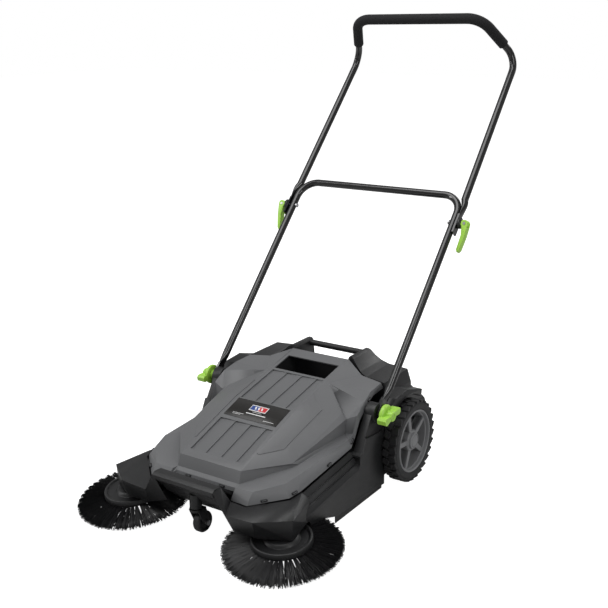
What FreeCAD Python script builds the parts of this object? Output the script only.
"""Walk-behind floor sweeper: every separate piece, in millimetres, +Z up.

The machine is laid out from its wheel axle line (y = 0) and its centre plane (x = 0); it travels
towards -Y, so +X is its left side.  Each piece is moved by FRAME_SHIFT when it is written, which puts
the origin on the floor under the middle of the machine's footprint.
"""
import FreeCAD
import Part
import math
import os

V = FreeCAD.Vector
X_AXIS, Z_AXIS = V(1, 0, 0), V(0, 0, 1)

# ---- driving dimensions (mm) -------------------------------------------------------------
FRAME_SHIFT = V(0, 1.1, 0)

WHEEL_R, WHEEL_IN, WHEEL_OUT = 103.0, 243.0, 280.0      # tyre radius, inner and outer face
RIM_R, HUB_R, AXLE_R = 79.0, 27.0, 8.0
SPOKES, LUGS = 5, 26

RUN = 0.05                                              # radial running clearance
WALL = 3.0                                              # moulded wall
BODY_X, CHEEK_X = 242.0, 222.0                          # outer faces of the sides and of the wheel wells
RECESS = 5.0                                            # depth of the pocket behind the pivot bosses
SILL_GROOVES = (0.42, 0.72)                             # share of the way up the sloping sill
SILL_GROOVE_R = 2.2

GEAR_MODULE, RING_TEETH, PINION_TEETH = 2.5, 60, 16
GEAR_X0, GEAR_X1 = 232.0, 241.0
PINION_ANGLE = 226.66                                   # direction from the axle to the roller, degrees
ROLLER_R, ROLLER_CORE_R, ROLLER_SHAFT_R, ROLLER_HALF, ROLLER_ROWS = 62.5, 22.0, 6.0, 203.0, 8

BRUSH_X, BRUSH_Y, BRUSH_TILT = 214.0, -473.0, V(0.015, -0.12, 1.0)
BRUSH_R, BRUSH_RING_R, SPINDLE_R = 136.0, 66.0, 4.0
BELT_R, BELT_X, DRIVE_PULLEY_R, BRUSH_PULLEY_R, BRUSH_PULLEY_H = 2.5, 227.25, 18.0, 12.0, 72.0
GROOVE_R = 3.3                                          # pulley grooves, clear of the belt all round
BELT_TUNNEL, BELT_JOINT = 2.0, 0.15                     # room round the belt; extra radius where its runs meet

CASTER_Y, CASTER_TRAIL, CASTER_R, CASTER_W = -503.0, 20.0, 25.0, 20.0

PIVOT_Y, PIVOT_Z = -117.5, 209.6                        # lower handle pivot
HANDLE_ANGLE = 46.91                                    # handle above the horizontal, degrees
TUBE_R, TUBE_WALL, LEG_X = 9.5, 1.5, 246.0
BAR_S, BAR_BEND_R = 617.0, 52.0                         # crossbar, measured along the leg from the pivot
LEVER_S = 537.0                                         # clamp bolt, measured the same way
UPPER_END_S, UPPER_X = 505.0, 254.0
UPPER_BEND, GRIP_CORNER = V(248, 612, 990), V(189.8, 499.7, 1098.4)
UPPER_BEND_R, GRIP_BEND_R, GRIP_R, GRIP_START = 45.0, 58.0, 14.0, 62.0

HANDLE_DIR = V(0, math.cos(math.radians(HANDLE_ANGLE)), math.sin(math.radians(HANDLE_ANGLE)))
PIVOT = V(0, PIVOT_Y, PIVOT_Z)
AXLE_Z = WHEEL_R
PINION_DISTANCE = GEAR_MODULE * (RING_TEETH - PINION_TEETH) / 2
ROLLER_Y = PINION_DISTANCE * math.cos(math.radians(PINION_ANGLE))
ROLLER_Z = AXLE_Z + PINION_DISTANCE * math.sin(math.radians(PINION_ANGLE))


# ---- small tools ---------------------------------------------------------------------------
def write(name, shape):
    """Write one sub-part as parts/NAME.step."""
    shape = shape.copy()
    shape.translate(FRAME_SHIFT)
    shape.exportStep("parts/" + name + ".step")
    print("%-20s solids %d  volume %8.1f cm3  valid %s"
          % (name, len(shape.Solids), shape.Volume / 1000, shape.isValid()))


def mirrored(shape):
    """The same piece on the other side of the machine."""
    return shape.mirror(V(0, 0, 0), X_AXIS)


def write_pair(name, left):
    """A left piece and its mirror image."""
    write(name + "_left", left)
    write(name + "_right", mirrored(left))


def write_group(name, left):
    """Both sides of a piece, as separate solids in one node."""
    write(name, Part.Compound([left, mirrored(left)]))


def box(x0, x1, y0, y1, z0, z1):
    return Part.makeBox(x1 - x0, y1 - y0, z1 - z0, V(x0, y0, z0))


def rod_x(radius, x0, x1, y, z):
    """A cylinder along X."""
    return Part.makeCylinder(radius, x1 - x0, V(x0, y, z), X_AXIS)


def rod_between(radius, start, end):
    """A cylinder from one point to another."""
    return Part.makeCylinder(radius, (end - start).Length, start, end - start)


def ring_x(outer, inner, x0, x1, y, z):
    return rod_x(outer, x0, x1, y, z).cut(rod_x(inner, x0 - 1, x1 + 1, y, z))


def prism_x(outline, x0, x1):
    """Extrude an outline of (y, z) points from x0 to x1."""
    points = [V(x0, y, z) for y, z in outline]
    face = Part.Face(Part.makePolygon(points + points[:1]))
    return face.extrude(V(x1 - x0, 0, 0))


def prism_y(outline, y0, y1):
    """Extrude an outline of (x, z) points from y0 to y1."""
    points = [V(x, y0, z) for x, z in outline]
    face = Part.Face(Part.makePolygon(points + points[:1]))
    return face.extrude(V(0, y1 - y0, 0))


def prism_z(outline, z0, z1):
    """Extrude an outline of (x, y) points from z0 to z1."""
    points = [V(x, y, z0) for x, y in outline]
    face = Part.Face(Part.makePolygon(points + points[:1]))
    return face.extrude(V(0, 0, z1 - z0))


def fuse(shapes):
    solid = shapes[0]
    for shape in shapes[1:]:
        solid = solid.fuse(shape)
    return solid.removeSplitter()


def counter_clockwise(outline, inset_by=0.0):
    """The outline in counter-clockwise order, its edges moved inwards."""
    area = sum(ax * by - bx * ay for (ax, ay), (bx, by) in zip(outline, outline[1:] + outline[:1]))
    ordered = outline if area > 0 else outline[::-1]
    return inset(ordered, inset_by) if inset_by else ordered


def inset(outline, distance):
    """Move each edge of a closed counter-clockwise outline inwards."""
    moved = []
    count = len(outline)
    for i in range(count):
        (ax, ay), (bx, by), (cx, cy) = outline[i - 1], outline[i], outline[(i + 1) % count]
        d1, d2 = math.hypot(bx - ax, by - ay), math.hypot(cx - bx, cy - by)
        n1, n2 = (-(by - ay) / d1, (bx - ax) / d1), (-(cy - by) / d2, (cx - bx) / d2)
        scale = distance / (1 + n1[0] * n2[0] + n1[1] * n2[1])
        moved.append((bx + (n1[0] + n2[0]) * scale, by + (n1[1] + n2[1]) * scale))
    return moved


def moulding(points, faces, wall, symmetric):
    """A closed thin-walled moulding from its outer facets.

    points maps a name to (x, y, z); faces are strings of names, each going round its facet
    anti-clockwise seen from outside.  A symmetric moulding is given as its x >= 0 half.
    """
    triangles = []
    for face in faces:
        names = face.split()
        corners = [V(*points[name]) for name in names]
        for i in range(1, len(corners) - 1):
            triangles.append((corners[0], corners[i], corners[i + 1]))
    if symmetric:
        flip = [tuple(V(-p.x, p.y, p.z) for p in reversed(t)) for t in triangles]
        triangles = triangles + flip

    def key(p):
        return (round(p.x, 3), round(p.y, 3), round(p.z, 3))

    normals = {}
    edges = {}
    for a, b, c in triangles:
        normal = (b - a).cross(c - a)
        normal.normalize()
        for p, q, r in ((a, b, c), (b, c, a), (c, a, b)):
            angle = (q - p).getAngle(r - p)
            normals[key(p)] = normals.get(key(p), V(0, 0, 0)) + normal * angle
            edges[(key(p), key(q))] = (p, q)
    inner = {}
    for spot, normal in normals.items():
        normal.normalize()
        inner[spot] = V(*spot) - normal * wall

    def facet(a, b, c):
        return Part.Face(Part.makePolygon([a, b, c, a]))

    shell = []
    for a, b, c in triangles:
        shell.append(facet(a, b, c))
        shell.append(facet(inner[key(a)], inner[key(c)], inner[key(b)]))
    for (ka, kb), (a, b) in edges.items():
        if (kb, ka) not in edges:
            shell.append(facet(b, a, inner[ka]))
            shell.append(facet(b, inner[ka], inner[kb]))
    solid = Part.Solid(Part.Shell(shell))
    if solid.Volume < 0:
        solid.reverse()
    return solid


def solid_from_facets(points, faces):
    """A closed solid from flat facets."""
    shell = []
    for face in faces:
        corners = [V(*points[name]) for name in face.split()]
        for i in range(1, len(corners) - 1):
            shell.append(Part.Face(Part.makePolygon([corners[0], corners[i], corners[i + 1], corners[0]])))
    solid = Part.Solid(Part.Shell(shell))
    if solid.Volume < 0:
        solid.reverse()
    return solid


def rounded_path(points, radii):
    """A wire through points whose inner corners are arcs of the given radii."""
    edges = []
    start = points[0]
    for i, radius in enumerate(radii, 1):
        before = points[i - 1] - points[i]
        after = points[i + 1] - points[i]
        before.normalize()
        after.normalize()
        half = before.getAngle(after) / 2
        reach = radius / math.tan(half)
        first, last = points[i] + before * reach, points[i] + after * reach
        middle_dir = before + after
        middle_dir.normalize()
        middle = points[i] + middle_dir * (radius / math.sin(half) - radius)
        edges += [Part.LineSegment(start, first).toShape(), Part.Arc(first, middle, last).toShape()]
        start = last
    edges.append(Part.LineSegment(start, points[-1]).toShape())
    return Part.Wire(edges)


def swept(path, radius):
    """A round bar along a path."""
    first = path.Edges[0]
    tangent = first.tangentAt(first.FirstParameter)
    circle = Part.Wire(Part.makeCircle(radius, first.valueAt(first.FirstParameter), tangent))
    return path.makePipeShell([circle], True, True)


def tilted(shape):
    """Move a piece drawn about the Z axis on to the left side brush's leaning spindle."""
    axis = V(BRUSH_TILT)
    axis.normalize()
    turn = FreeCAD.Rotation(Z_AXIS, axis)
    shape = shape.copy()
    shape.Placement = FreeCAD.Placement(V(BRUSH_X, BRUSH_Y, 0), turn).multiply(shape.Placement)
    return shape


def along_leg(s, x=0.0, off=0.0):
    """A point s along the handle's leg from its pivot, x out from the centre, off to the front."""
    front = V(0, -HANDLE_DIR.z, HANDLE_DIR.y)
    return PIVOT + HANDLE_DIR * s + front * off + V(x, 0, 0)


# ---- gears ---------------------------------------------------------------------------------
def gear_outline(teeth, tip, root, thickness, turn):
    """Involute tooth outline as (y, z) points about 0, 0; thickness is the tooth at the pitch circle."""
    pitch = GEAR_MODULE * teeth / 2
    pressure = math.radians(20)
    base = pitch * math.cos(pressure)

    def half_angle(radius):
        roll = math.acos(min(1.0, base / radius))
        return thickness / (2 * pitch) + (math.tan(pressure) - pressure) - (math.tan(roll) - roll)

    low = max(root, base * 1.0005)
    radii = [low + (tip - low) * i / 3 for i in range(4)]
    outline = []
    for tooth in range(teeth):
        centre = math.radians(turn) + tooth * 2 * math.pi / teeth
        flank = [(r, half_angle(r)) for r in radii]
        if root < low:
            flank.insert(0, (root, half_angle(low)))
        for r, a in flank:
            outline.append((r * math.cos(centre - a), r * math.sin(centre - a)))
        for r, a in reversed(flank):
            outline.append((r * math.cos(centre + a), r * math.sin(centre + a)))
    return outline


def ring_gear():
    pitch = GEAR_MODULE * RING_TEETH / 2
    space = math.pi * GEAR_MODULE / 2 + 0.3
    outline = gear_outline(RING_TEETH, pitch + 1.3 * GEAR_MODULE, pitch - 0.75 * GEAR_MODULE, space,
                           PINION_ANGLE)
    teeth = prism_x([(y, z + AXLE_Z) for y, z in outline], GEAR_X0 - 1, WHEEL_IN + 1)
    return rod_x(pitch + 8, GEAR_X0, WHEEL_IN, 0, AXLE_Z).cut(teeth)


def pinion():
    pitch = GEAR_MODULE * PINION_TEETH / 2
    thickness = math.pi * GEAR_MODULE / 2 - 0.2
    outline = gear_outline(PINION_TEETH, pitch + 0.9 * GEAR_MODULE, pitch - 1.2 * GEAR_MODULE,
                           thickness, PINION_ANGLE)
    return prism_x([(y + ROLLER_Y, z + ROLLER_Z) for y, z in outline], GEAR_X0, GEAR_X1)


# ---- grey top cover --------------------------------------------------------------------------
def deck_z(y):
    """Height of the cover's flat central band at y."""
    stations = [(-450, 155), (-237, 224), (-27, 269), (5.6, 277.5)]
    for (y0, z0), (y1, z1) in zip(stations, stations[1:]):
        if y <= y1:
            break
    return z0 + (z1 - z0) * (y - y0) / (y1 - y0)


WELL_X, WELL_FRONT, WELL_REAR = 76.0, -92.0, -27.0      # carrying handle opening
COVER_POINTS = {
    "a0": (0, -449, deck_z(-449)), "a1": (87, -449, deck_z(-449)), "a2": (163, -362, 158),
    "a3": (171, -165, 211), "a4": (93, -102, 250),
    "m0": (0, -237, 224), "m1": (86, -237, 224),
    "k0": (0, WELL_FRONT, deck_z(WELL_FRONT)), "o1": (WELL_X, WELL_FRONT, deck_z(WELL_FRONT)),
    "k1": (86, WELL_FRONT, deck_z(WELL_FRONT)), "k2": (86, WELL_REAR, deck_z(WELL_REAR)),
    "o2": (WELL_X, WELL_REAR, deck_z(WELL_REAR)), "o3": (0, WELL_REAR, deck_z(WELL_REAR)),
    "r0": (0, 5.6, 277.5), "r2": (85, 5.6, 277.5),
    "b0": (0, -458, 128), "b1": (88, -458, 128), "b2": (172, -348, 152),
    "w1": (185, -168, 200), "w2": (182, -172, 163),
    "s2": (90, -474, 127), "s3": (138, -475, 130), "s4": (186, -422, 140), "s5": (196, -380, 148),
    "s6": (201, -188, 157), "s7": (203, -171, 168),
    "e1": (212, -165, 213), "e2": (210, -129, 234), "e3": (203, -87, 246), "e4": (199, -30, 249),
    "e5": (140, -23, 255),
    "f0": (0, -467, 122), "f1": (86, -467, 122), "f2": (90, -486, 113), "f3": (136, -489, 114),
    "f4": (198, -430, 122), "f5": (207, -399, 127), "f6": (209, -192, 150), "f7": (212, -184, 170),
    "g0": (0, -470, 114), "g1": (87, -470, 114), "g2": (90, -492, 104), "g3": (136, -495, 105),
    "g4": (203, -431, 114), "g5": (211, -399, 119), "g6": (213, -192, 142), "g7": (215, -178, 165),
    "h1": (216, -160, 200), "h2": (213, -122, 223), "h3": (206, -80, 234), "h4": (204, -28, 236),
    "h5": (140, -20, 243), "t2": (85, 8.2, 266), "t0": (0, 8.2, 266),
}
COVER_FACES = [
    "a0 a1 m1 m0", "m0 m1 k1 o1 k0", "o1 k1 k2 o2", "r0 o3 o2 k2 r2",
    "a1 a2 m1", "a2 a3 m1", "m1 a3 k1", "k1 a3 a4",
    "a0 b0 b1 a1", "a1 b1 b2 a2", "a2 b2 w2", "a2 w2 w1", "a2 w1 a3", "a3 w1 a4",
    "b1 s2 s3", "b1 s3 s4", "b1 s4 b2", "b2 s4 s5", "b2 s5 s6", "b2 s6 w2", "w2 s6 s7",
    "w1 w2 s7", "w1 s7 e1", "w1 e1 e2", "w1 e2 a4", "a4 e2 e3", "a4 e3 e5", "e3 e4 e5",
    "a4 e5 r2", "k1 a4 r2", "k1 r2 k2",
    "b0 f0 f1 b1", "b1 f1 f2 s2", "s2 f2 f3 s3", "s3 f3 f4 s4", "s4 f4 f5 s5", "s5 f5 f6 s6",
    "s6 f6 f7 s7", "s7 f7 e1",
    "f0 g0 g1 f1", "f1 g1 g2 f2", "f2 g2 g3 f3", "f3 g3 g4 f4", "f4 g4 g5 f5", "f5 g5 g6 f6",
    "f6 g6 g7 f7", "f7 g7 h1 e1", "e1 h1 h2 e2", "e2 h2 h3 e3", "e3 h3 h4 e4", "e4 h4 h5 e5",
    "e5 h5 t2 r2", "r2 t2 t0 r0",
]
SLAT_STEPS = [-75, -31, 13, 57, 77]
SLAT_DEPTH = 4.0
PAD_PLAN = [(88, -158), (100, -175), (132, -191), (128.5, -343), (93, -390), (88, -390)]     # (x, y)
PAD_HEIGHT = 1.5


def slat_cutter(y0, y1):
    """Long sawtooth grooves between y0 and y1, sunk into the cover's central band."""
    slope = math.atan2(deck_z(y1) - deck_z(y0), y1 - y0)
    outline = [(SLAT_STEPS[0], 20)]
    for x0, x1 in zip(SLAT_STEPS, SLAT_STEPS[1:]):
        outline += [(x0, -SLAT_DEPTH), (x1, -1.2)]
    outline.append((SLAT_STEPS[-1], 20))
    length = math.hypot(y1 - y0, deck_z(y1) - deck_z(y0))
    cutter = prism_y(outline, 0, length)
    cutter.rotate(V(0, 0, 0), X_AXIS, math.degrees(slope))
    cutter.translate(V(0, y0, deck_z(y0)))
    return cutter


def band_backing(y0, y1):
    """Extra wall under the central band, so that the grooves do not break through."""
    outline = [(y0, deck_z(y0) - 1), (y1, deck_z(y1) - 1), (y1, deck_z(y1) - 9), (y0, deck_z(y0) - 9)]
    return prism_x(outline, -80, 80)


def top_cover():
    """Faceted cover with a raised pad on each shoulder and two grooved panels between them."""
    cover = moulding(COVER_POINTS, COVER_FACES, WALL, True)
    raised = cover.copy()
    raised.translate(V(0, 0, PAD_HEIGHT))
    pad = raised.common(prism_z(PAD_PLAN, 100, 300))
    cover = cover.fuse(pad).fuse(mirrored(pad))
    for y0, y1 in ((-427, -313), (-236, WELL_FRONT - 8)):
        cover = cover.fuse(band_backing(y0 - 3, y1 + 1)).cut(slat_cutter(y0, y1))
    return cover


def label_plate():
    """A thin blank plate on the cover's central band."""
    y0, y1, thick = -302.0, -240.0, 0.9
    corners = [V(x, y, deck_z(y) + 0.02) for x, y in ((-76, y0), (76, y0), (76, y1), (-76, y1))]
    face = Part.Face(Part.makePolygon(corners + corners[:1]))
    rise = V(0, -(deck_z(y1) - deck_z(y0)), y1 - y0)
    rise.normalize()
    return face.extrude(rise * thick)


def carry_well(cover):
    """The tray under the cover's carrying opening, deep enough for a hand."""
    outer = box(-WELL_X - 5, WELL_X + 5, WELL_FRONT - 6, 4, 196, 262)
    inner = box(-WELL_X - 2, WELL_X + 2, WELL_FRONT - 3, 1, 199, 300)
    above = prism_x([(-120, deck_z(-120) - 4), (5.6, deck_z(5.6) - 4), (5.6, 320), (-120, 320)], -100, 100)
    return outer.cut(inner).cut(above).cut(cover)


# ---- black lower body --------------------------------------------------------------------------
GUARD_POINTS = {
    "a1": (92, -494, 103), "a2": (136, -499, 104), "a3": (206, -434, 112), "a4": (214, -400, 117),
    "b1": (86, -520, 147), "b2": (86, -547, 143), "t2": (114, -541, 97), "t3": (185, -542, 101),
    "t4": (253, -491, 102), "t5": (241, -424, 82), "t6": (235, -399, 106),
    "c1": (86, -503, 62), "c2": (121, -526, 57), "c3": (181, -526, 56), "c4": (249, -488, 52),
    "c5": (242, -422, 63),
}
GUARD_FACES = [
    "a1 t2 a2", "a2 t2 t3", "a2 t3 a3", "a3 t3 t4", "a3 t4 a4", "a4 t4 t6", "t4 t5 t6",
    "b1 b2 t2", "a1 b1 t2", "t2 c2 c3 t3", "t3 c3 c4 t4", "t4 c4 c5 t5", "b2 c1 c2 t2",
]


def brush_guard():
    return moulding(GUARD_POINTS, GUARD_FACES, WALL, False)


def front_bumper():
    """Raised front lip with the caster's socket behind it."""
    outline = [(-473, 106), (-473, 112), (-518, 147), (-538, 148), (-547, 143), (-545, 133), (-520, 112),
               (-503, 88), (-458, 48), (-455, 52), (-499, 93), (-515, 115), (-534, 133), (-517, 140),
               (-477, 108)]
    lip = prism_x(list(reversed(outline)), -85.5, 85.5)
    socket = Part.makeCylinder(14, 34, V(0, CASTER_Y, 68))
    web = box(-3, 3, CASTER_Y + 8, -470, 72, 100)
    bore = Part.makeCylinder(6 + RUN, 60, V(0, CASTER_Y, 60))
    return fuse([lip, socket, web]).cut(bore)


def chassis_shell(guard):
    side = [(-86, 15), (-86, 150), (-112, 150), (-196, 130), (-403, 108), (-452, 98), (-452, 66),
            (-414, 63), (-407, 50), (-348, 40), (-303, 24)]
    outer = prism_x(side, -BODY_X, BODY_X)
    inner = prism_x(counter_clockwise(side, 4), -BODY_X + 4, BODY_X - 4)
    below = box(-BODY_X + 4, BODY_X - 4, -446, -80, -5, 60)
    shell = outer.cut(inner).cut(below)
    rear_roof = box(-CHEEK_X, CHEEK_X, -90, 8, 146, 150)
    cheek_outline = [(-90, 18), (18, 18), (26, 60), (26, 225), (-60, 225), (-90, 200)]
    cheek = prism_x(cheek_outline, 216, CHEEK_X)
    pillar_outline = [(-206, 96), (-90, 96), (-90, 151), (-96, 214), (-140, 214), (-172, 164)]
    pillar = prism_x(pillar_outline, 217, BODY_X)
    hollow = prism_x(counter_clockwise(pillar_outline, 4), 221, BODY_X - RECESS - 4)
    recess = prism_x([(-172, 164), (-90, 156), (-90, 220), (-142, 220)], BODY_X - RECESS, BODY_X + 1)
    sides = pillar.cut(hollow).cut(recess).fuse(cheek)
    bevel_points = {
        "p": (246, -460, 67), "q": (246, -200, 96), "r": (214, -200, 136), "s": (214, -460, 108),
        "t": (300, -460, 200), "u": (300, -200, 200),
    }
    bevel_faces = ["p s r q", "p q u t", "q r u", "s t u r", "p t s"]
    bevel = solid_from_facets(bevel_points, bevel_faces)
    shell = shell.cut(bevel).cut(mirrored(bevel))
    wedge = moulding({k: bevel_points[k] for k in "pqrs"}, ["p q r s"], 4, False)
    wedge = wedge.common(box(200, BODY_X, -452, -196, 0, 300))
    for share in SILL_GROOVES:
        start = V(*bevel_points["p"]) * (1 - share) + V(*bevel_points["s"]) * share
        end = V(*bevel_points["q"]) * (1 - share) + V(*bevel_points["r"]) * share
        wedge = wedge.cut(rod_between(SILL_GROOVE_R, start, end))
    body = fuse([shell, rear_roof, sides, mirrored(sides), wedge, mirrored(wedge)])
    for side_sign in (1, -1):
        x0, x1 = sorted((side_sign * 200, side_sign * 250))
        body = body.cut(rod_x(24 + 0.02, x0, x1, PIVOT_Y, PIVOT_Z))
        body = body.cut(rod_x(AXLE_R, x0, x1, 0, AXLE_Z))
        body = body.cut(rod_x(10, x0, x1, ROLLER_Y, ROLLER_Z))
    for start, end in belt_ends():
        tunnel = rod_between(BELT_R + BELT_TUNNEL, start, end)
        body = body.cut(tunnel).cut(mirrored(tunnel))
    body = body.cut(box(-216, 216, -95, -80, -5, 146)).cut(guard).cut(mirrored(guard))
    return max(body.Solids, key=lambda solid: solid.Volume)


def pivot_boss():
    """Round housing of the lower handle's pivot."""
    return ring_x(24, 5 + RUN, 217, BODY_X + 0.7, PIVOT_Y, PIVOT_Z)


def pivot_bolt():
    head = rod_x(9, 211, 217, PIVOT_Y, PIVOT_Z)
    return head.fuse(rod_x(5, 215, 264, PIVOT_Y, PIVOT_Z)).removeSplitter()


def fender():
    """Arch over the wheel, hollow underneath."""
    arch_r = WHEEL_R + 11
    steps = 10
    start, end = math.radians(128), math.radians(52)
    arc = [(arch_r * math.cos(start + (end - start) * i / steps),
            AXLE_Z + arch_r * math.sin(start + (end - start) * i / steps)) for i in range(steps + 1)]
    outline = counter_clockwise(arc + [(74, 212), (-2, 235), (-61, 230), (-80, 216)])
    block = prism_x(outline, CHEEK_X, 258)
    hollow = prism_x(inset(outline, WALL), CHEEK_X, 258 - WALL)
    return block.cut(hollow)


# ---- wheels ------------------------------------------------------------------------------------
def wheel_rim():
    barrel = ring_x(RIM_R, RIM_R - 7, WHEEL_IN, WHEEL_OUT - 3, 0, AXLE_Z)
    hub = rod_x(HUB_R, WHEEL_IN + 8, WHEEL_OUT - 3, 0, AXLE_Z)
    pieces = [barrel, hub]
    for i in range(SPOKES):
        spoke = box(WHEEL_IN + 10, WHEEL_OUT - 8, HUB_R - 4, RIM_R - 3, -8, 8)
        spoke.rotate(V(0, 0, 0), X_AXIS, -95 + i * 360 / SPOKES)
        spoke.translate(V(0, 0, AXLE_Z))
        pieces.append(spoke)
    rim = fuse(pieces)
    rim = rim.cut(rod_x(AXLE_R + RUN, WHEEL_IN, WHEEL_OUT, 0, AXLE_Z))
    return rim.cut(rod_x(16, WHEEL_OUT - 8, WHEEL_OUT, 0, AXLE_Z))


def tyre():
    """Moulded tyre with bar lugs right across the tread."""
    body = ring_x(WHEEL_R - 4, RIM_R, WHEEL_IN, WHEEL_OUT, 0, AXLE_Z)
    lugs = []
    for i in range(LUGS):
        lug = box(WHEEL_IN + 1, WHEEL_OUT - 1, WHEEL_R - 6, WHEEL_R - 0.1, -7, 7)
        lug.rotate(V(0, 0, 0), X_AXIS, i * 360 / LUGS - 90)
        lug.translate(V(0, 0, AXLE_Z))
        lugs.append(lug)
    shape = body
    for lug in lugs:
        shape = shape.fuse(lug)
    return shape.common(rod_x(WHEEL_R, WHEEL_IN, WHEEL_OUT, 0, AXLE_Z)).removeSplitter()


def stub_axle():
    """Axle pressed through the wheel well's cheek."""
    return rod_x(AXLE_R, 214, 271, 0, AXLE_Z).fuse(rod_x(14, 210, 216, 0, AXLE_Z)).removeSplitter()


def drive_pulley():
    """Belt pulley on the inner side of the wheel hub."""
    sleeve = rod_x(14, 232, WHEEL_IN + 8, 0, AXLE_Z)
    disc = rod_x(DRIVE_PULLEY_R + 0.5, 223, 232, 0, AXLE_Z)
    groove = Part.makeTorus(DRIVE_PULLEY_R, GROOVE_R, V(BELT_X, 0, AXLE_Z), X_AXIS)
    bore = rod_x(AXLE_R + RUN, 220, 260, 0, AXLE_Z)
    return sleeve.fuse(disc).removeSplitter().cut(groove).cut(bore)


# ---- side brushes and their belts ----------------------------------------------------------------
def tilted_point(x, y, z):
    return tilted(Part.Vertex(x, y, z)).Point


def brush_spindle():
    return tilted(Part.makeCylinder(SPINDLE_R, 50, V(0, 0, 42)))


def brush_pulley():
    disc = Part.makeCylinder(BRUSH_PULLEY_R + 0.5, 9, V(0, 0, BRUSH_PULLEY_H - 4.5))
    groove = Part.makeTorus(BRUSH_PULLEY_R, GROOVE_R, V(0, 0, BRUSH_PULLEY_H))
    bore = Part.makeCylinder(SPINDLE_R, 20, V(0, 0, BRUSH_PULLEY_H - 10))
    return tilted(disc.cut(groove).cut(bore))


def brush_hub():
    """Dished round plate that carries the tufts, with a raised lip."""
    outline = [(SPINDLE_R, 42), (20, 42), (BRUSH_RING_R - 6, 34), (BRUSH_RING_R + 2, 36),
               (BRUSH_RING_R, 49), (BRUSH_RING_R - 4, 50), (BRUSH_RING_R - 8, 45), (38, 46), (34, 52),
               (14, 55), (12, 60), (SPINDLE_R, 60)]
    points = [V(r, 0, z) for r, z in outline]
    face = Part.Face(Part.makePolygon(points + points[:1]))
    return tilted(face.revolve(V(0, 0, 0), Z_AXIS, 360))


def brush_bristles():
    """Closed outer shape of the fan of tufts."""
    outline = [(44, 33), (BRUSH_RING_R - 6, 33.5), (BRUSH_RING_R + 2, 35.5), (BRUSH_R - 30, 28),
               (BRUSH_R, 19.5), (BRUSH_R - 1, 16.8), (BRUSH_R - 38, 17), (60, 22)]
    points = [V(r, 0, z) for r, z in outline]
    face = Part.Face(Part.makePolygon(points + points[:1]))
    return tilted(face.revolve(V(0, 0, 0), Z_AXIS, 360))


def spindle_housing(guard):
    """Bearing of the brush spindle, hung under the brush guard."""
    tube = Part.makeCylinder(7.5, 46, V(0, 0, 79)).cut(Part.makeCylinder(SPINDLE_R + RUN, 60, V(0, 0, 70)))
    lid = prism_x([(-560, 60), (-400, 60), (-400, 102), (-560, 90)], 150, 280)
    return tilted(tube).common(lid).cut(guard)


def belt_ends():
    """The two ends of each of the belt's straight runs."""
    starts = [V(BELT_X, 0, AXLE_Z + DRIVE_PULLEY_R), V(BELT_X, 0, AXLE_Z - DRIVE_PULLEY_R)]
    ends = [tilted_point(side * BRUSH_PULLEY_R, 0, BRUSH_PULLEY_H) for side in (1, -1)]
    return list(zip(starts, ends))


def drive_belt():
    """Round belt with a quarter turn, from the wheel's pulley to the brush spindle's pulley."""
    rear = Part.makeTorus(DRIVE_PULLEY_R, BELT_R, V(BELT_X, 0, AXLE_Z), X_AXIS)
    rear = rear.common(box(BELT_X - 5, BELT_X + 5, 0, 40, AXLE_Z - 40, AXLE_Z + 40))
    front = Part.makeTorus(BRUSH_PULLEY_R, BELT_R, V(0, 0, BRUSH_PULLEY_H))
    front = tilted(front.common(box(-20, 20, -20, 0, BRUSH_PULLEY_H - 5, BRUSH_PULLEY_H + 5)))
    pieces = [rear, front]
    for start, end in belt_ends():
        pieces.append(rod_between(BELT_R, start, end))
        pieces += [Part.makeSphere(BELT_R + BELT_JOINT, start), Part.makeSphere(BELT_R + BELT_JOINT, end)]
    belt = pieces[0]
    for piece in pieces[1:]:
        belt = belt.fuse(piece)
    return belt


# ---- main roller -----------------------------------------------------------------------------------
def roller_bristles():
    """Rows of bristle along the core."""
    rows = [ring_x(ROLLER_CORE_R + 8, ROLLER_CORE_R, -ROLLER_HALF, ROLLER_HALF, 0, 0)]
    for i in range(ROLLER_ROWS):
        row = box(-ROLLER_HALF, ROLLER_HALF, ROLLER_CORE_R + 2, ROLLER_R, -8, 8)
        row.rotate(V(0, 0, 0), X_AXIS, i * 360 / ROLLER_ROWS)
        rows.append(row)
    brush = rows[0]
    for row in rows[1:]:
        brush = brush.fuse(row)
    brush = brush.common(rod_x(ROLLER_R, -ROLLER_HALF, ROLLER_HALF, 0, 0)).removeSplitter()
    brush.translate(V(0, ROLLER_Y, ROLLER_Z))
    return brush


def roller_bush():
    tube = ring_x(10, ROLLER_SHAFT_R + RUN, 213, CHEEK_X, ROLLER_Y, ROLLER_Z)
    return tube.fuse(ring_x(13, ROLLER_SHAFT_R + RUN, 213, 216, ROLLER_Y, ROLLER_Z)).removeSplitter()


# ---- caster -------------------------------------------------------------------------------------------
def caster_fork():
    wheel_y = CASTER_Y + CASTER_TRAIL
    stem = Part.makeCylinder(6, 40, V(0, CASTER_Y, 60))
    top = Part.makeCylinder(15, 6, V(0, CASTER_Y, 60)).fuse(box(-15, 15, CASTER_Y, wheel_y - 3, 60, 66))
    arms = []
    for x in (-15, 11.5):
        outline = [(CASTER_Y - 8, 62), (wheel_y - 10, 22), (wheel_y + 9, 18), (wheel_y + 10, 34),
                   (wheel_y - 3, 62)]
        arms.append(prism_x(outline, x, x + 3.5))
    fork = fuse([stem, top] + arms)
    return fork.cut(rod_x(4, -20, 20, wheel_y, CASTER_R))


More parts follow.
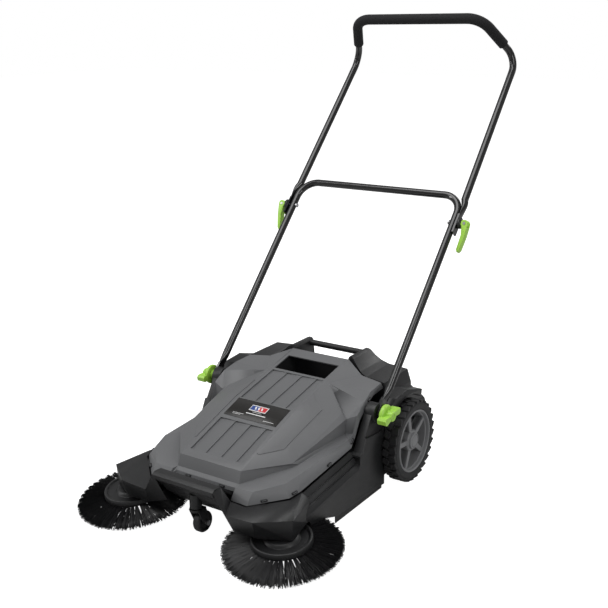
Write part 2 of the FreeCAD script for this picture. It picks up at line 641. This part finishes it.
def caster_wheel():
    wheel_y = CASTER_Y + CASTER_TRAIL
    half = CASTER_W / 2
    wheel = rod_x(CASTER_R, -half, half, wheel_y, CASTER_R)
    wheel = wheel.makeChamfer(2.0, wheel.Edges)
    for x0, x1 in ((-half, -half + 3), (half - 3, half)):
        wheel = wheel.cut(ring_x(18, 8, x0, x1, wheel_y, CASTER_R))
    return wheel.cut(rod_x(4 + RUN, -20, 20, wheel_y, CASTER_R))


def caster_axle():
    wheel_y = CASTER_Y + CASTER_TRAIL
    pin = rod_x(4, -15, 15, wheel_y, CASTER_R)
    return fuse([pin, rod_x(6, 15, 18, wheel_y, CASTER_R), rod_x(6, -18, -15, wheel_y, CASTER_R)])


# ---- handles ------------------------------------------------------------------------------------------
def oval(centre, half_x, half_off, normal):
    """An ellipse across a leg: half_x along X and half_off, the longer one, across it."""
    across = normal.cross(X_AXIS)
    across.normalize()
    side = across.cross(normal)
    side.normalize()
    return Part.Wire(Part.Ellipse(centre + across * half_off, centre + side * half_x, centre).toShape())


def leg_plate(x0, x1, s0, s1, half, hole_s, hole_r):
    """Flattened tube end between s0 and s1 with a round hole."""
    corners = [along_leg(s0, x0, -half), along_leg(s1, x0, -half),
               along_leg(s1, x0, half), along_leg(s0, x0, half)]
    plate = Part.Face(Part.makePolygon(corners + corners[:1])).extrude(V(x1 - x0, 0, 0))
    centre = along_leg(hole_s)
    return plate.cut(rod_x(hole_r, x0 - 1, x1 + 1, centre.y, centre.z))


def lower_handle():
    """U-shaped tube: two legs flattened at the pivot, and a crossbar."""
    tube_start = 66.0
    path = rounded_path([along_leg(tube_start, LEG_X), along_leg(BAR_S, LEG_X), along_leg(BAR_S, -LEG_X),
                         along_leg(tube_start, -LEG_X)], [BAR_BEND_R, BAR_BEND_R])
    tube = swept(path, TUBE_R).cut(swept(path, TUBE_R - TUBE_WALL))
    bolt = along_leg(LEVER_S)
    tube = tube.cut(rod_x(4 + 0.02, -270, 270, bolt.y, bolt.z))
    flat = leg_plate(243.2, 248.8, 0, 34, 12, 0, 5 + RUN)
    nose = rod_x(12, 243.2, 248.8, PIVOT_Y, PIVOT_Z).cut(rod_x(5 + RUN, 240, 250, PIVOT_Y, PIVOT_Z))
    taper = Part.makeLoft([oval(along_leg(33, LEG_X), 2.8, 12.2, HANDLE_DIR),
                           oval(along_leg(50, LEG_X), 7.0, 11.0, HANDLE_DIR),
                           oval(along_leg(tube_start, LEG_X), TUBE_R - 0.01, TUBE_R, HANDLE_DIR)], True)
    leg = fuse([flat, nose, taper])
    return Part.Compound([tube, leg, mirrored(leg)])


def upper_path():
    lower = along_leg(LEVER_S + 70, UPPER_X)
    return [lower, UPPER_BEND, GRIP_CORNER, V(-GRIP_CORNER.x, GRIP_CORNER.y, GRIP_CORNER.z),
            V(-UPPER_BEND.x, UPPER_BEND.y, UPPER_BEND.z), V(-lower.x, lower.y, lower.z)]


def upper_handle():
    """Long U-shaped tube, cranked forwards to the grip; its ends are flattened beside the lower legs."""
    points = upper_path()
    path = rounded_path(points, [UPPER_BEND_R, GRIP_BEND_R, GRIP_BEND_R, UPPER_BEND_R])
    tube = swept(path, TUBE_R).cut(swept(path, TUBE_R - TUBE_WALL))
    inner_x = LEG_X + TUBE_R + 0.3
    flat = leg_plate(inner_x, inner_x + 4.6, UPPER_END_S, LEVER_S + 22, 11.5, LEVER_S, 4 + RUN)
    direction = points[1] - points[0]
    direction.normalize()
    taper = Part.makeLoft([oval(along_leg(LEVER_S + 21, inner_x + 2.3), 2.2, 11.3, HANDLE_DIR),
                           oval(along_leg(LEVER_S + 35, inner_x + 3.7), 3.6, 10.8, HANDLE_DIR),
                           oval(along_leg(LEVER_S + 53, 258.8), 7.6, 10.2, HANDLE_DIR),
                           oval(points[0], TUBE_R - 0.01, TUBE_R, direction)], True)
    leg = fuse([flat, taper])
    return Part.Compound([tube, leg, mirrored(leg)])


def foam_grip():
    """Foam sleeve round both corners and along the bar."""
    points = upper_path()
    run = points[2] - points[1]
    run.normalize()
    start = points[1] + run * GRIP_START
    path = rounded_path([start, points[2], points[3], V(-start.x, start.y, start.z)],
                        [GRIP_BEND_R, GRIP_BEND_R])
    return swept(path, GRIP_R).cut(swept(path, TUBE_R + RUN))


LEVER_PIN = along_leg(LEVER_S, 280)
LEVER_PIN_AXIS = V(0, -0.93, 0.36)
LEVER_HALF, LEVER_HEAD_R, LEVER_PIN_R = 9.5, 9.5, 3.5   # half the cam lever's width; radii


def clamp_bolt():
    bolt = along_leg(LEVER_S)
    shank = rod_x(4, 234, 276, bolt.y, bolt.z)
    head = rod_x(6, 232.5, LEG_X - TUBE_R - 0.05, bolt.y, bolt.z)
    return shank.fuse(head).removeSplitter()


def clamp_block():
    """Shaped washer between the cam and the tubes."""
    bolt = along_leg(LEVER_S)
    inner_x = LEG_X + TUBE_R + 5.0
    block = rod_x(14, inner_x, 268, bolt.y, bolt.z).fuse(rod_x(11, 268, 270, bolt.y, bolt.z))
    return block.removeSplitter().cut(rod_x(4 + 0.02, 250, 280, bolt.y, bolt.z))


def lever_frame(x, along_pin, down):
    """A point from the lever's pin: x outwards, along the pin, and down the lever."""
    pin_axis = V(LEVER_PIN_AXIS)
    pin_axis.normalize()
    down_dir = V(0, -pin_axis.z, pin_axis.y)
    return LEVER_PIN + V(x, 0, 0) + pin_axis * along_pin + down_dir * down


def lever_pin():
    start, end = lever_frame(0, -LEVER_HALF - 1, 0), lever_frame(0, LEVER_HALF + 1, 0)
    pin = rod_between(LEVER_PIN_R, start, end)
    bolt = along_leg(LEVER_S)
    return pin.cut(rod_x(4, 270, 276, bolt.y, bolt.z))


def cam_lever():
    """Quick-release lever with a forked cam head; it hangs down when it is closed."""
    start, end = lever_frame(0, -LEVER_HALF, 0), lever_frame(0, LEVER_HALF, 0)
    head = rod_between(LEVER_HEAD_R, start, end)
    outline = [(5.5, -6.0), (9.5, 4.0), (6.5, 32), (-1.0, 68), (-6.0, 75), (-9.0, 68), (-3.5, 30), (-6.5, 6)]
    points = [lever_frame(x, -LEVER_HALF, down) for x, down in outline]
    arm = Part.Face(Part.makePolygon(points + points[:1])).extrude(end - start)
    bore = Part.makeCylinder(LEVER_PIN_R + RUN, 40, lever_frame(0, -20, 0), end - start)
    slot_corners = [lever_frame(x, -4.5, down) for x, down in ((-12, -12), (12, -12), (12, 10), (-12, 10))]
    slot = Part.Face(Part.makePolygon(slot_corners + slot_corners[:1])).extrude((end - start) * (4.5 / LEVER_HALF))
    return head.fuse(arm).removeSplitter().cut(bore).cut(slot)


def star_knob():
    """Wing knob that clamps the lower handle."""
    disc = rod_x(25, 257, 267, PIVOT_Y, PIVOT_Z)
    hub = rod_x(12, 249.2, 284, PIVOT_Y, PIVOT_Z)
    bar = box(259, 282, -36, 36, -8, 8)
    bar.rotate(V(0, 0, 0), X_AXIS, 10)
    bar.translate(PIVOT)
    knob = fuse([disc, hub, bar])
    return knob.cut(rod_x(5 + RUN, 240, 264.5, PIVOT_Y, PIVOT_Z)).cut(rod_x(5, 274, 290, PIVOT_Y, PIVOT_Z))


# ---- dirt hopper --------------------------------------------------------------------------------------
HOPPER_BAR_Y, HOPPER_BAR_Z, HOPPER_BAR_R = 84.0, 272.0, 8.0
HOPPER_SIDE = [(32, 30), (188, 30), (203, 55), (203, 95), (178, 145), (100, 205), (98, 250), (93, 284),
               (-26, 284), (-26, 157), (12, 157), (32, 150)]        # (y, z)
HOPPER_REAR = [(213, 20), (213, 215), (203, 247), (150, 251), (128, 258), (111, 269), (99, 281), (92, 284),
               (84, 284), (80, 278)]                                # (x, z) of the +X half
HOPPER_PLAN = [(213, 240), (213, -23), (140, -15), (90, 11)]        # (x, y) of the +X half
HAND_POCKET = [(8, 262), (50, 238), (130, 238), (130, 300), (8, 300)]   # (y, z)
POCKET_X = 80.0
HOPPER_SPLIT_Z = 150.0                                              # joint between tub and lid


def both_halves(half):
    """An outline across the machine from the points of its +X half."""
    return half + [(-x, other) for x, other in reversed(half)]


def hopper_solid(inset_by):
    """The hopper's outer shape, or its hollow when inset by the wall."""
    side = prism_x(counter_clockwise(HOPPER_SIDE, inset_by), -300, 300)
    rear = prism_y(counter_clockwise(both_halves(HOPPER_REAR), inset_by), -60, 260)
    plan = prism_z(counter_clockwise(both_halves(HOPPER_PLAN), inset_by), 0, 320)
    return side.common(rear).common(plan)


def hopper_shell():
    """Open-fronted container that slides out to the rear, with a hand pocket in its lid."""
    pocket = prism_x(HAND_POCKET, -POCKET_X, POCKET_X)
    tray = prism_x(counter_clockwise(HAND_POCKET, -WALL), -POCKET_X - WALL, POCKET_X + WALL)
    hollow = hopper_solid(WALL).cut(tray)
    shell = hopper_solid(0).cut(pocket).cut(hollow)
    mouth = box(-203, 203, 28, 40, 36, 138)
    return shell.cut(mouth).cut(hopper_grip())


def hopper_grip():
    """Carrying bar over the hand pocket in the hopper's lid."""
    return rod_x(HOPPER_BAR_R, -POCKET_X - 4, POCKET_X + 4, HOPPER_BAR_Y, HOPPER_BAR_Z)


def hopper_seal():
    """Rubber lip under the hopper's mouth."""
    return prism_x([(31.9, 30), (31.9, 37), (12, 9), (14, 6)], -203, 203)


def side_skirt():
    return box(BODY_X - 7, BODY_X - 4.05, -300, -92, 5, 40)


def guard_screw():
    """Pan-head screw in the top of each brush guard."""
    head = Part.makeCylinder(4.5, 4, V(210, -483, 101))
    return head.fuse(Part.makeCylinder(2, 5, V(210, -483, 97))).removeSplitter()


# ---- write every piece -----------------------------------------------------------------------------------
def main():
    os.makedirs("parts", exist_ok=True)
    cover = top_cover()
    guard = brush_guard().cut(guard_screw())
    hopper = hopper_shell()
    lid_space = box(-300, 300, -100, 300, HOPPER_SPLIT_Z, 320)
    write("chassis_shell", chassis_shell(guard))
    write_pair("brush_guard", guard)
    write("front_bumper", front_bumper())
    write("top_cover", cover)
    write("label_plate", label_plate())
    write("carry_well", carry_well(cover))
    write_pair("fender", fender())
    write_group("pivot_bosses", pivot_boss())
    write_group("pivot_bolts", pivot_bolt())
    write_group("stub_axles", stub_axle())
    write_group("roller_bushes", roller_bush())
    write_group("drive_belts", drive_belt())
    write_group("spindle_housings", spindle_housing(guard))
    write_group("side_skirts", side_skirt())
    write_group("guard_screws", guard_screw())
    write_pair("wheel_rim", wheel_rim())
    write_pair("tyre", tyre())
    write_pair("hub_cap", rod_x(15.9, WHEEL_OUT - 8, WHEEL_OUT - 2, 0, AXLE_Z))
    write_pair("ring_gear", ring_gear())
    write_pair("drive_pulley", drive_pulley())
    pinion_blank = pinion()
    write("pinion_left", pinion_blank.cut(rod_x(ROLLER_SHAFT_R, 200, 250, ROLLER_Y, ROLLER_Z)))
    write("pinion_right", mirrored(pinion_blank.cut(rod_x(ROLLER_SHAFT_R + RUN, 200, 250, ROLLER_Y, ROLLER_Z))))
    write("roller_shaft", rod_x(ROLLER_SHAFT_R, -GEAR_X1, GEAR_X1, ROLLER_Y, ROLLER_Z))
    write("roller_core", ring_x(ROLLER_CORE_R, ROLLER_SHAFT_R, -205, 205, ROLLER_Y, ROLLER_Z))
    write("roller_bristles", roller_bristles())
    write_pair("brush_hub", brush_hub())
    write_pair("brush_bristles", brush_bristles())
    write_pair("brush_spindle", brush_spindle())
    write_pair("brush_pulley", brush_pulley())
    write("caster_fork", caster_fork())
    write("caster_wheel", caster_wheel())
    write("caster_axle", caster_axle())
    write("lower_handle", lower_handle())
    write("upper_handle", upper_handle())
    write("foam_grip", foam_grip())
    write_pair("cam_lever", cam_lever())
    write_group("clamp_bolts", clamp_bolt())
    write_group("clamp_blocks", clamp_block())
    write_group("lever_pins", lever_pin())
    write_pair("star_knob", star_knob())
    write("hopper_tub", hopper.cut(lid_space))
    write("hopper_lid", hopper.common(lid_space))
    write("hopper_grip", hopper_grip())
    write("hopper_seal", hopper_seal())


main()
